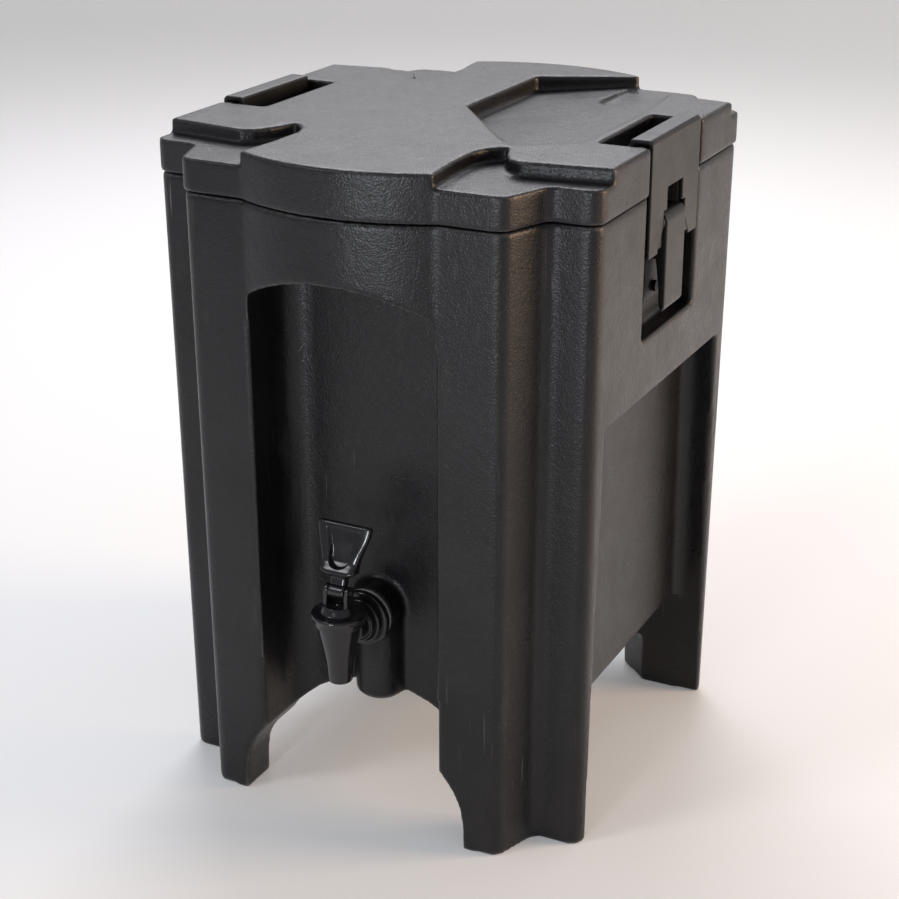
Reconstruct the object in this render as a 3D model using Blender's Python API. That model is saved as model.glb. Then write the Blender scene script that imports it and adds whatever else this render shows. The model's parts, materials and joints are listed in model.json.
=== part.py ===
"""Insulated drinks carrier: a foam-filled moulded body on four legs, a lift-off lid held by two
draw latches, and a self-closing draw-off tap in a front alcove.

Metres, +Z up, the front with the tap faces -Y. The parts are laid out about the tank's axis, and
the last step slides the whole carrier along Y so that its box is centred on the origin.
"""
import math

import bpy
from mathutils import Matrix, Vector

# ---------------------------------------------------------------- driving dimensions
GAP = 0.0003             # air left between pieces that touch

# outline at the seam, seen from above
HALF_WIDTH = 0.150       # side faces of the corner columns
COLUMN_WIDTH = 0.031     # width of a column's front face
STEP_RUN = 0.012         # sideways run of the step from column to front panel
COLUMN_Y = 0.122         # front and back faces of the corner columns
PANEL_PROUD = 0.0345     # flat front panel in front of the columns
CREASE_X = 0.0645        # where the flat panel meets the bowed middle
CREASE_RISE = 0.0015
BOW_RISE = 0.0165        # apex of the bowed middle in front of its creases
EDGE_ROUND = 0.009       # rounding of the vertical edges
BODY_DRAFT = 0.016       # share by which the outline shrinks from the seam to the floor

# heights and walls
SEAM_Z = 0.413           # top of the body
LID_GAP = 0.0008         # gap between body and lid
LID_RISE = 0.0305        # top of the lid above the seam
LEDGE_DROP = 0.009       # corner ledges below the top of the lid
LID_OVERHANG = 0.001
BODY_WALL = 0.004
LID_WALL = 0.0035

# hollows of the outer form
ALCOVE_SET_BACK = 0.010  # back wall of the front alcove behind the column faces
ALCOVE_SIDE_DROP = 0.059  # top of the alcove at its sides, below the seam
ALCOVE_MID_DROP = 0.041   # top of the alcove in the middle, below the seam
SIDE_RECESS_DEPTH = 0.024
SIDE_RECESS_DROP = 0.130  # top of the lower side recess, below the seam
SIDE_RECESS_TOP_INSET = 0.022   # its ends inside the column faces, at the top
SIDE_RECESS_FOOT_INSET = 0.014  # and at the floor
BELLY_Z = 0.078          # underside of the body between the legs
LEG_DEPTH = 0.016        # leg, from the column face to the face across the side opening

# tank
TANK_WALL_SPACE_X = 0.049   # tank wall inside the side faces
TANK_WALL_SPACE_Y = 0.026   # tank wall behind the alcove's back wall
TANK_ROUND = 0.048
TANK_FLOOR_RISE = 0.028     # tank floor above the underside
SPIGOT_CLEAR = 0.002     # lid spigot to tank wall
SPIGOT_DEPTH = 0.014     # lid spigot below the seam

# tap
TAP_Z = 0.140            # axis of the tap's shank
TAP_REACH = 0.054        # axis of the tap's barrel in front of the alcove wall
BOSS_RADIUS = 0.017
PAD_PROUD = 0.018        # face of the round pad in front of the alcove wall
SHANK_RADIUS = 0.0100
FLANGE_LAP = 0.009       # flange beyond the shank, all round
PAD_INSET = 0.0010       # flange beyond the pad behind it
SLEEVE_WALL = 0.004
WASHER = 0.003
FLANGE = 0.0035
OUTER_WASHER_LAP = 0.0078   # outer washer beyond the shank
NUT_LAP = 0.0065         # nut and inner washer beyond the shank
NUT_LENGTH = 0.0075
SHANK_END = 0.016        # shank's end behind the tank wall
SLEEVE_END = 0.036       # how far the bore's cutting shapes run past the tank wall
WATERWAY_WALL = 0.0035

# lid gasket and fill plugs
GROOVE_IN = 0.0060       # gasket groove, from the tank wall out
GROOVE_OUT = 0.0110
GROOVE_DEPTH = 0.0025    # in the body
GROOVE_HEIGHT = 0.0015   # in the lid
GASKET_CLEAR = 0.0005    # gasket to the sides of its groove
FILL_Y = 0.060           # body's fill hole behind the tank's axis
FILL_RADIUS = 0.010
FILL_HEAD_RADIUS = 0.0140
FILL_HEAD = 0.0025       # plug's head below the wall
FILL_ROOM_RADIUS = 0.0135   # room in the foam over the plug
FILL_ROOM = 0.0015

# latches
LATCH_HALF = 0.045       # half length of the latch recess
LATCH_RECESS_DEPTH = 0.014
LATCH_RECESS_DROP = 0.091
HOOK_SIDE_CLEAR = 0.003  # hook's ends inside the recess
HOOK_SET_IN = 0.0025     # inner face of the hook plate inside the side face
HOOK_PLATE = 0.003
PIVOT_SET_IN = 0.004     # lever pivot inside the side face; the hook pivot is straight below it
PIVOT_DROP = 0.022       # lever pivot below the seam
CRANK = 0.0125           # distance between the two pivots
LEVER_HALF = 0.016
LEVER_LENGTH = 0.057     # lever's foot below its pivot
PIN_RADIUS = 0.0015
RIM_SET_IN = 0.0035      # outer face of the lid rim inside the side face
RIM_THICK = 0.0043
SLOT_WIDTH = 0.0252

# places that follow from them
COLUMN_IN = HALF_WIDTH - COLUMN_WIDTH
PANEL_OUT = COLUMN_IN - STEP_RUN
PANEL_Y = COLUMN_Y + PANEL_PROUD
CREASE_Y = PANEL_Y + CREASE_RISE
BOW_Y = CREASE_Y + BOW_RISE
TOP_Z = SEAM_Z + LID_RISE
LEDGE_Z = TOP_Z - LEDGE_DROP
ALCOVE_Y = COLUMN_Y - ALCOVE_SET_BACK
ALCOVE_SIDE_Z = SEAM_Z - ALCOVE_SIDE_DROP
ALCOVE_MID_Z = SEAM_Z - ALCOVE_MID_DROP
SIDE_PANEL_X = HALF_WIDTH - SIDE_RECESS_DEPTH
SIDE_RECESS_Z = SEAM_Z - SIDE_RECESS_DROP
SIDE_RECESS_TOP_Y = COLUMN_Y - SIDE_RECESS_TOP_INSET
SIDE_RECESS_FOOT_Y = COLUMN_Y - SIDE_RECESS_FOOT_INSET
LEG_INNER_Y = COLUMN_Y - LEG_DEPTH
TANK_X = HALF_WIDTH - TANK_WALL_SPACE_X
TANK_Y = ALCOVE_Y - TANK_WALL_SPACE_Y
TANK_FLOOR_Z = BELLY_Z + TANK_FLOOR_RISE
SPIGOT_Z = SEAM_Z - SPIGOT_DEPTH
TAP_Y = -ALCOVE_Y - TAP_REACH
PAD_Y = -ALCOVE_Y - PAD_PROUD
FLANGE_RADIUS = SHANK_RADIUS + FLANGE_LAP
PAD_RADIUS = FLANGE_RADIUS - PAD_INSET
LATCH_FLOOR_X = HALF_WIDTH - LATCH_RECESS_DEPTH
LATCH_RECESS_Z = SEAM_Z - LATCH_RECESS_DROP
HOOK_HALF = LATCH_HALF - HOOK_SIDE_CLEAR
HOOK_IN_X = HALF_WIDTH - HOOK_SET_IN
PIVOT_X = HALF_WIDTH - PIVOT_SET_IN
PIVOT_Z = SEAM_Z - PIVOT_DROP
LEVER_FOOT_Z = PIVOT_Z - LEVER_LENGTH
RIM_OUT_X = HALF_WIDTH - RIM_SET_IN
RIM_IN_X = RIM_OUT_X - RIM_THICK
SLOT_IN_X = RIM_IN_X - SLOT_WIDTH
BEYOND = 0.030           # how far cutting shapes run past the outside


# ---------------------------------------------------------------- drawing helpers
def clear_scene():
    for obj in list(bpy.data.objects):
        bpy.data.objects.remove(obj, do_unlink=True)


def arc(cx, cy, radius, start, end, steps):
    """Points on a circle from one angle to another, in degrees, both ends included."""
    angles = [math.radians(start + (end - start) * i / steps) for i in range(steps + 1)]
    return [(cx + radius * math.cos(a), cy + radius * math.sin(a)) for a in angles]


def rounded(corners, steps=4, closed=True):
    """A polygon from (x, y, radius) corners, each corner replaced by an arc of its radius."""
    points = []
    count = len(corners)
    for i, (x, y, radius) in enumerate(corners):
        if radius == 0 or (not closed and i in (0, count - 1)):
            points.append((x, y))
            continue
        here = Vector((x, y))
        before = (Vector(corners[i - 1][:2]) - here).normalized()
        after = (Vector(corners[(i + 1) % count][:2]) - here).normalized()
        half = before.angle(after) / 2
        centre = here + (before + after).normalized() * (radius / math.sin(half))
        first = here + before * (radius / math.tan(half)) - centre
        last = here + after * (radius / math.tan(half)) - centre
        turn = first.angle_signed(last)
        for step in range(steps + 1):
            angle = -turn * step / steps
            swung = Matrix.Rotation(angle, 2) @ first
            points.append(tuple(centre + swung))
    return points


def inset(points, distance):
    """The closed outline moved inwards by a distance (outlines run counter-clockwise)."""
    moved = []
    count = len(points)
    for i in range(count):
        before = Vector(points[i]) - Vector(points[i - 1])
        after = Vector(points[(i + 1) % count]) - Vector(points[i])
        n1 = Vector((-before.y, before.x)).normalized()
        n2 = Vector((-after.y, after.x)).normalized()
        moved.append(tuple(Vector(points[i]) + (n1 + n2) * (distance / (1 + n1.dot(n2)))))
    return moved


def mirrored(points, x=1, y=1):
    """The outline mirrored by the signs given, kept counter-clockwise."""
    flipped = [(px * x, py * y) for px, py in points]
    return flipped[::-1] if x * y < 0 else flipped


def scaled(points, factor):
    return [(x * factor, y * factor) for x, y in points]


def make_object(name, verts, faces):
    mesh = bpy.data.meshes.new(name)
    mesh.from_pydata(verts, [], faces)
    mesh.validate()
    obj = bpy.data.objects.new(name, mesh)
    bpy.context.collection.objects.link(obj)
    return obj


def loft(name, sections):
    """A solid through level sections [(z, outline), ...] from bottom to top."""
    count = len(sections[0][1])
    verts = [(x, y, z) for z, outline in sections for x, y in outline]
    faces = [tuple(range(count))[::-1]]
    for level in range(len(sections) - 1):
        base = level * count
        for i in range(count):
            j = (i + 1) % count
            faces.append((base + i, base + j, base + count + j, base + count + i))
    top = (len(sections) - 1) * count
    faces.append(tuple(range(top, top + count)))
    return make_object(name, verts, faces)


def prism(name, outline, low, high):
    return loft(name, [(low, outline), (high, outline)])


def turn_to(obj, axis):
    """Lay a solid drawn along Z so that it runs along X or Y, in its mesh."""
    if axis == "X":
        # drawn (x, y, z) becomes (z, x, y)
        matrix = Matrix(((0, 0, 1, 0), (1, 0, 0, 0), (0, 1, 0, 0), (0, 0, 0, 1)))
    else:
        # drawn (x, y, z) becomes (y, z, x)
        matrix = Matrix(((0, 1, 0, 0), (0, 0, 1, 0), (1, 0, 0, 0), (0, 0, 0, 1)))
    obj.data.transform(matrix)
    return obj


def bar_x(name, outline_yz, low, high):
    """A solid with the same (y, z) outline from one x to another."""
    return turn_to(prism(name, outline_yz, low, high), "X")


def bar_y(name, outline_zx, low, high):
    """A solid with the same (z, x) outline from one y to another."""
    return turn_to(prism(name, outline_zx, low, high), "Y")


def turned(name, axis, centre, profile, sides=24):
    """A solid turned about an axis from (radius, place along the axis) points, low end first.

    centre gives the axis's two other coordinates in X, Y, Z order. A ring starts half a step
    round, so that no corner lies in the planes that two crossing round pieces share.
    """
    half = 180 / sides
    cx, cy = (centre[1], centre[0]) if axis == "Y" else centre
    rings = [(place, arc(cx, cy, radius, half, 360 - half, sides - 1)) for radius, place in profile]
    solid = loft(name, rings)
    return solid if axis == "Z" else turn_to(solid, axis)


def rod(name, axis, centre, radius, low, high, sides=24):
    """A plain round bar along an axis."""
    return turned(name, axis, centre, [(radius, low), (radius, high)], sides)


def lathe(name, centre, profile, sides=24):
    """A solid turned about a vertical axis from (radius, z) points, listed from bottom to top."""
    return turned(name, "Z", centre, profile, sides)


def block(name, low, high):
    outline = [(low[0], low[1]), (high[0], low[1]), (high[0], high[1]), (low[0], high[1])]
    return prism(name, outline, low[2], high[2])


def combine(target, tools, operation):
    """Join or cut target with each tool in turn, and remove the tools."""
    for tool in tools:
        modifier = target.modifiers.new("combine", "BOOLEAN")
        modifier.operation = operation
        modifier.solver = "EXACT"
        modifier.object = tool
        bpy.context.view_layer.objects.active = target
        bpy.ops.object.modifier_apply(modifier=modifier.name)
        bpy.data.objects.remove(tool, do_unlink=True)
    return target


def cut(target, *tools):
    return combine(target, tools, "DIFFERENCE")


def join(target, *tools):
    return combine(target, tools, "UNION")


def common(target, *tools):
    return combine(target, tools, "INTERSECT")


def finish_piece(obj, colour, roughness, metallic=0.0, smooth_angle=32):
    """Give a piece its material and smooth its round faces."""
    material = bpy.data.materials.new(obj.name)
    material.use_nodes = True
    shader = material.node_tree.nodes["Principled BSDF"]
    shader.inputs["Base Color"].default_value = (*colour, 1.0)
    shader.inputs["Roughness"].default_value = roughness
    shader.inputs["Metallic"].default_value = metallic
    obj.data.materials.clear()
    obj.data.materials.append(material)
    obj.data.shade_smooth()
    obj.data.set_sharp_from_angle(angle=math.radians(smooth_angle))
    return obj


def hang_on(obj, pivot):
    """Put a moving piece's origin on its joint axis, with its faces where they are."""
    obj.data.transform(Matrix.Translation(-Vector(pivot)))
    obj.location = pivot
    return obj


BLACK_SHELL = (0.016, 0.016, 0.018)
BLACK_TAP = (0.008, 0.008, 0.009)
FOAM = (0.62, 0.50, 0.26)
SILICONE = (0.55, 0.55, 0.53)
STEEL = (0.62, 0.62, 0.60)


# ---------------------------------------------------------------- body
def carrier_outline():
    """The body's outline at the seam: columns, stepped flat panels and the bowed middles."""
    bow_rise = BOW_Y - CREASE_Y
    radius = (CREASE_X ** 2 + bow_rise ** 2) / (2 * bow_rise)
    sweep = math.degrees(math.asin(CREASE_X / radius))
    bow = arc(0, radius - BOW_Y, radius, -90, -90 + sweep, 12)
    corner = rounded([(*bow[-1], 0), (PANEL_OUT, -PANEL_Y, EDGE_ROUND),
                      (COLUMN_IN, -COLUMN_Y, EDGE_ROUND), (HALF_WIDTH, -COLUMN_Y, EDGE_ROUND),
                      (HALF_WIDTH, 0, 0)], closed=False)
    front_right = bow[:-1] + corner[:-1]
    back_right = mirrored(front_right, y=-1)
    back_left = mirrored(front_right, x=-1, y=-1)
    front_left = mirrored(front_right, x=-1)
    # the apex points are shared by two quarters
    return front_right + back_right + back_left[1:] + front_left[:-1]


def tank_outline(grow=0.0):
    x = TANK_X + grow
    y = TANK_Y + grow
    radius = TANK_ROUND + grow
    return rounded([(x, -y, radius), (x, y, radius), (-x, y, radius), (-x, -y, radius)], steps=6)


def alcove_space(grow):
    """The front alcove: flat back wall with rounded corners, under a shallow arched top."""
    x = CREASE_X - 0.0005 + grow
    back = ALCOVE_Y - grow
    far = BOW_Y + 0.03
    plan = prism("alcove_plan", rounded([(-x, -far, 0), (x, -far, 0), (x, -back, 0.018),
                                         (-x, -back, 0.018)], steps=5), -0.01, SEAM_Z - 0.013)
    rise = ALCOVE_MID_Z - ALCOVE_SIDE_Z
    radius = (x ** 2 + rise ** 2) / (2 * rise)
    sweep = math.degrees(math.asin(x / radius))
    crown = arc(0, ALCOVE_MID_Z + grow - radius, radius, 90 - sweep, 90 + sweep, 12)
    face = [(-x, -0.02), (x, -0.02)] + crown
    arch = bar_y("alcove_arch", [(z, px) for px, z in face][::-1], -far - 0.01, 0)
    return common(plan, arch)


def side_recess(sign, grow):
    """The lower side recess, wider at the floor than at its top edge."""
    inner = SIDE_PANEL_X - grow
    outer = HALF_WIDTH + 0.03
    sections = []
    for z, half in ((-0.01, SIDE_RECESS_FOOT_Y), (SIDE_RECESS_Z + grow, SIDE_RECESS_TOP_Y)):
        outline = rounded([(inner, -half - grow, 0.010), (outer, -half - grow, 0),
                           (outer, half + grow, 0), (inner, half + grow, 0.010)])
        sections.append((z, mirrored(outline, x=sign)))
    return loft("side_recess", sections)


def latch_recess(sign, grow):
    outline = rounded([(-LATCH_HALF - grow, LATCH_RECESS_Z - grow, 0.003),
                       (LATCH_HALF + grow, LATCH_RECESS_Z - grow, 0.003),
                       (LATCH_HALF + grow, SEAM_Z + BEYOND, 0),
                       (-LATCH_HALF - grow, SEAM_Z + BEYOND, 0)])
    low = LATCH_FLOOR_X - grow
    high = HALF_WIDTH + 0.03
    if sign < 0:
        low, high = -high, -low
    return bar_x("latch_recess", outline, low, high)


def belly_space(grow):
    """The open space under the body between the four legs."""
    side = HALF_WIDTH + 0.02
    leg = LEG_INNER_Y + grow
    leg_x = HALF_WIDTH - 0.062 - grow   # inner faces of the legs, where the opening widens
    corner = leg_x + grow - 0.006       # the legs' inner corners are cut off low down
    run = 0.020
    upper = block("belly", (-side, -leg + 0.006, -0.01), (side, leg - 0.006, BELLY_Z + grow))
    cross = block("belly_cross", (-side, -leg, -0.01), (-leg_x, leg, BELLY_Z + grow))
    cross_right = block("belly_cross", (leg_x, -leg, -0.01), (side, leg, BELLY_Z + grow))
    wide = corner + 0.022
    diagonal = [(wide, -leg), (wide, leg), (corner, leg + run), (-corner, leg + run),
                (-wide, leg), (-wide, -leg), (-corner, -leg - run), (corner, -leg - run)]
    low = prism("belly_low", diagonal, -0.012, 0.038 + grow)
    return join(upper, cross, cross_right, low)


def leg_arch(grow):
    """The arch between the legs, through the body from front to back."""
    half = [(0.0820, -0.015), (0.0810, 0.014), (0.0790, 0.029), (0.0735, 0.041),
            (0.0660, 0.051), (0.0580, 0.058), (0.0480, 0.066), (0.0350, 0.0735), (0.0200, 0.0785)]
    face = half + [(0.0, 0.0805)] + [(-x, z) for x, z in half[::-1]]
    if grow:
        face = inset(face, -grow)
    return bar_y("leg_arch", [(z, px) for px, z in face][::-1], -0.25, 0.25)


def body_block(name, grow):
    """The body's outer form, or the same form with every wall moved in by grow."""
    outline = inset(carrier_outline(), grow) if grow else carrier_outline()
    foot = scaled(outline, 1 - BODY_DRAFT)
    body = loft(name, [(grow, foot), (SEAM_Z - 1.5 * grow, outline)])
    cut(body, alcove_space(grow), side_recess(1, grow), side_recess(-1, grow),
        belly_space(grow), leg_arch(grow), latch_recess(1, grow), latch_recess(-1, grow))
    return body


def tap_boss(name, grow):
    """The sump boss under the tap and the round pad that the tap's flange bears on."""
    radius = BOSS_RADIUS - grow
    boss = lathe(name, (0, -ALCOVE_Y), [(radius * 0.72, 0.075 + grow), (radius, 0.079 + grow),
                                        (radius, TAP_Z)], sides=24)
    pad = rod("pad", "Y", (0, TAP_Z), PAD_RADIUS - grow, PAD_Y + grow, -ALCOVE_Y + 0.01, sides=32)
    return join(boss, pad)


def make_body():
    shell = body_block("body_shell", 0.0)
    join(shell, tap_boss("boss", 0.0))
    cavity = body_block("cavity", BODY_WALL)
    cut(cavity, prism("tank_outside", tank_outline(BODY_WALL),
                      TANK_FLOOR_Z - BODY_WALL, SEAM_Z + BEYOND))
    sleeve = SHANK_RADIUS + GAP + SLEEVE_WALL
    cut(cavity, rod("sleeve", "Y", (0, TAP_Z), sleeve, PAD_Y - 0.02, SLEEVE_END - TANK_Y))
    cut(shell, cavity)
    cut(shell, prism("tank_inside", tank_outline(), TANK_FLOOR_Z, SEAM_Z + BEYOND))
    cut(shell, rod("tap_bore", "Y", (0, TAP_Z), SHANK_RADIUS + GAP, PAD_Y - 0.02, SLEEVE_END - TANK_Y))
    groove = prism("groove", tank_outline(GROOVE_OUT), SEAM_Z - GROOVE_DEPTH, SEAM_Z + BEYOND)
    cut(groove, prism("groove_inside", tank_outline(GROOVE_IN), SPIGOT_Z, SEAM_Z + 2 * BEYOND))
    cut(shell, groove)
    cut(shell, rod("fill_hole", "Z", (0, FILL_Y), FILL_RADIUS + GAP, BELLY_Z - 0.01, BELLY_Z + 0.010))
    for sign in (1, -1):
        for z in SCREW_ROWS:
            hole = rod("screw_hole", "X", (0, z), SCREW_RADIUS + GAP,
                       *sorted((sign * (LATCH_FLOOR_X - SCREW_DEPTH - GAP), sign * HALF_WIDTH)),
                       sides=12)
            cut(shell, hole)
    finish_piece(shell, BLACK_SHELL, 0.45)

    foam = body_block("body_foam", BODY_WALL + GAP)
    cut(foam, prism("tank_outside", tank_outline(BODY_WALL + GAP),
                    TANK_FLOOR_Z - BODY_WALL - GAP, SEAM_Z + BEYOND))
    cut(foam, rod("sleeve", "Y", (0, TAP_Z), sleeve + GAP, PAD_Y - 0.02, SLEEVE_END - TANK_Y))
    cut(foam, rod("plug_space", "Z", (0, FILL_Y), FILL_ROOM_RADIUS, BELLY_Z - BODY_WALL,
                  BELLY_Z + BODY_WALL + FILL_ROOM))
    finish_piece(foam, FOAM, 0.9)

    fill_plug("body_fill_plug", (0, FILL_Y), BELLY_Z, BODY_WALL)


def fill_plug(name, centre, wall_z, wall):
    """The plug that shuts a fill hole: a flat head under the wall, and a bung through it."""
    plug = lathe(name, centre,
                 [(FILL_HEAD_RADIUS - 0.0015, wall_z - FILL_HEAD),
                  (FILL_HEAD_RADIUS, wall_z - FILL_HEAD + 0.0010),
                  (FILL_HEAD_RADIUS, wall_z - GAP), (FILL_RADIUS, wall_z - GAP),
                  (FILL_RADIUS, wall_z + wall), (FILL_RADIUS - 0.0010, wall_z + wall + 0.0005)])
    finish_piece(plug, BLACK_SHELL, 0.5)


# ---------------------------------------------------------------- lid
LID_Z = SEAM_Z + LID_GAP


def ledge_outline(grow):
    """One corner ledge of the lid top, where a foot of a stacked carrier stands."""
    tip = [(0.0640, -0.175), (0.0640, -0.160), (0.0603, -0.125), (0.0600, -0.100),
           (0.0635, -0.089), (0.0690, -0.0825), (0.0735, -0.0800), (0.0760, -0.0860),
           (0.0800, -0.0960), (0.0860, -0.1060), (0.0940, -0.1105), (0.1000, -0.1100),
           (HALF_WIDTH + 0.010, -0.1015), (HALF_WIDTH + 0.010, -BOW_Y - 0.0155),
           (0.0640, -BOW_Y - 0.0155)]
    outline = tip[::-1]
    return inset(outline, -grow) if grow else outline


def sunken_panel(corners, grow):
    """A sunk panel with a sloping floor: corners are (x, y, depth), in order, around a centre.

    grow moves the floor down and the walls out, so that a hollow behind it keeps its wall.
    """
    if grow:
        plan = inset([(x, y) for x, y, depth in corners], -grow)
        corners = [(x, y, depth) for (x, y), (_, _, depth) in zip(plan, corners)]
    middle = [sum(c[i] for c in corners) / len(corners) for i in range(3)]
    count = len(corners)
    verts = [(x, y, TOP_Z - depth - grow) for x, y, depth in corners]
    verts.append((middle[0], middle[1], TOP_Z - middle[2] - grow))
    verts += [(x, y, TOP_Z + 0.02) for x, y, depth in corners]
    faces = []
    for i in range(count):
        j = (i + 1) % count
        faces.append((j, i, count))
        faces.append((i, j, count + 1 + j, count + 1 + i))
    faces.append(tuple(range(count + 1, 2 * count + 1)))
    return make_object("sunken_panel", verts, faces)


DEEP_PANEL = [(0.0725, -0.0770, 0.0003), (SLOT_IN_X - 0.007, -0.0500, 0.0003),
              (SLOT_IN_X - 0.005, 0.0500, 0.0006), (SLOT_IN_X - 0.012, 0.1060, 0.0020),
              (0.0650, CREASE_Y - 0.002, 0.0070), (0.0, 0.1260, 0.0110),
              (0.0, 0.0160, 0.0110)]
SHALLOW_PANEL = [(-0.0600, 0.0760, 0.0003), (-0.0600, 0.1300, 0.0040),
                 (-0.0650, CREASE_Y - 0.002, 0.0040), (-0.0960, 0.1440, 0.0040),
                 (-0.1100, 0.1000, 0.0003)]


def lid_slot(sign, grow):
    """The slot in the lid top behind the rim that a latch hooks over."""
    return block("slot", (min(sign * (SLOT_IN_X - grow), sign * (RIM_IN_X + grow)),
                          -LATCH_HALF - grow, LEDGE_Z - 0.004 - grow),
                 (max(sign * (SLOT_IN_X - grow), sign * (RIM_IN_X + grow)),
                  LATCH_HALF + grow, TOP_Z + 0.02))


def lid_channel(sign, grow):
    """The channel in the lid's side that the hook plate lies in."""
    low, high = sorted((sign * (RIM_OUT_X - grow), sign * (HALF_WIDTH + 0.03)))
    return block("channel", (low, -LATCH_HALF - grow, SPIGOT_Z),
                 (high, LATCH_HALF + grow, TOP_Z + BEYOND))


def lid_block(name, grow):
    """The lid's outer form, or the same form with every wall moved in by grow."""
    outline = inset(carrier_outline(), grow - LID_OVERHANG)
    lid = prism(name, outline, LID_Z + grow, TOP_Z - grow)
    join(lid, prism("spigot", tank_outline(-SPIGOT_CLEAR - grow), SPIGOT_Z + grow, LID_Z + 0.008))
    for x in (1, -1):
        for y in (1, -1):
            ledge = mirrored(ledge_outline(grow), x=x, y=y)
            cut(lid, prism("ledge", ledge, LEDGE_Z - grow, TOP_Z + 0.03))
    cut(lid, sunken_panel(DEEP_PANEL, grow), sunken_panel(SHALLOW_PANEL, grow))
    for sign in (1, -1):
        cut(lid, lid_slot(sign, grow), lid_channel(sign, grow))
    return lid


def make_lid():
    shell = lid_block("lid_shell", 0.0)
    cut(shell, lid_foam_block("lid_cavity", LID_WALL))
    groove = prism("groove", tank_outline(GROOVE_OUT), SPIGOT_Z - BEYOND, LID_Z + GROOVE_HEIGHT)
    cut(groove, prism("groove_inside", tank_outline(GROOVE_IN), SPIGOT_Z - 2 * BEYOND, TOP_Z))
    cut(shell, groove)
    cut(shell, rod("fill_hole", "Z", (0, 0), FILL_RADIUS + GAP, SPIGOT_Z - 0.01, SPIGOT_Z + 0.010))
    finish_piece(shell, BLACK_SHELL, 0.42)

    foam = lid_foam_block("lid_foam", LID_WALL + GAP)
    cut(foam, rod("plug_space", "Z", (0, 0), FILL_ROOM_RADIUS, SPIGOT_Z - BEYOND,
                  SPIGOT_Z + LID_WALL + FILL_ROOM))
    finish_piece(foam, FOAM, 0.9)

    fill_plug("lid_fill_plug", (0, 0), SPIGOT_Z, LID_WALL)

    gasket = prism("lid_gasket", tank_outline(GROOVE_OUT - GASKET_CLEAR),
                   SEAM_Z - GROOVE_DEPTH + GAP, LID_Z + GROOVE_HEIGHT - GAP)
    cut(gasket, prism("gasket_inside", tank_outline(GROOVE_IN + GASKET_CLEAR), SPIGOT_Z, TOP_Z))
    finish_piece(gasket, SILICONE, 0.6)


def lid_foam_block(name, grow):
    """The foamed hollow of the lid: it stays inboard of the slots and their rims."""
    lid = lid_block(name, grow)
    for sign in (1, -1):
        low, high = sorted((sign * (SLOT_IN_X - grow), sign * (HALF_WIDTH + BEYOND)))
        cut(lid, block("rim_zone", (low, -LATCH_HALF - grow, SPIGOT_Z - BEYOND),
                       (high, LATCH_HALF + grow, TOP_Z + BEYOND)))
    return lid


# ---------------------------------------------------------------- latches
SCREW_ROWS = (PIVOT_Z - 0.046, PIVOT_Z - 0.025)
SCREW_RADIUS = 0.002
SCREW_HEAD_RADIUS = 0.0036
SCREW_HEAD = 0.0016
SCREW_DEPTH = BODY_WALL - 0.0005   # stops short of the foam
BASE_PLATE = 0.0030
BASE_X = LATCH_FLOOR_X + GAP + BASE_PLATE
EAR_IN = LEVER_HALF + 0.0004
EAR_OUT = EAR_IN + 0.0022
BARREL = 0.0062          # round top of the lever about its pivot
HOOK_PIVOT_Z = PIVOT_Z - CRANK
KNUCKLE = 0.0036
BORE = PIN_RADIUS + GAP


def side_solid(name, outline_xz, low, high, sign):
    """A solid with an (x, z) outline drawn for the right side, from one y to another."""
    flipped = [(x * sign, z) for x, z in outline_xz]
    if sign < 0:
        flipped = flipped[::-1]
    return bar_y(name, [(z, x) for x, z in flipped][::-1], low, high)


def side_rod(name, x, z, radius, low, high, sign, sides=20):
    return rod(name, "Y", (x * sign, z), radius, low, high, sides=sides)


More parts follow.
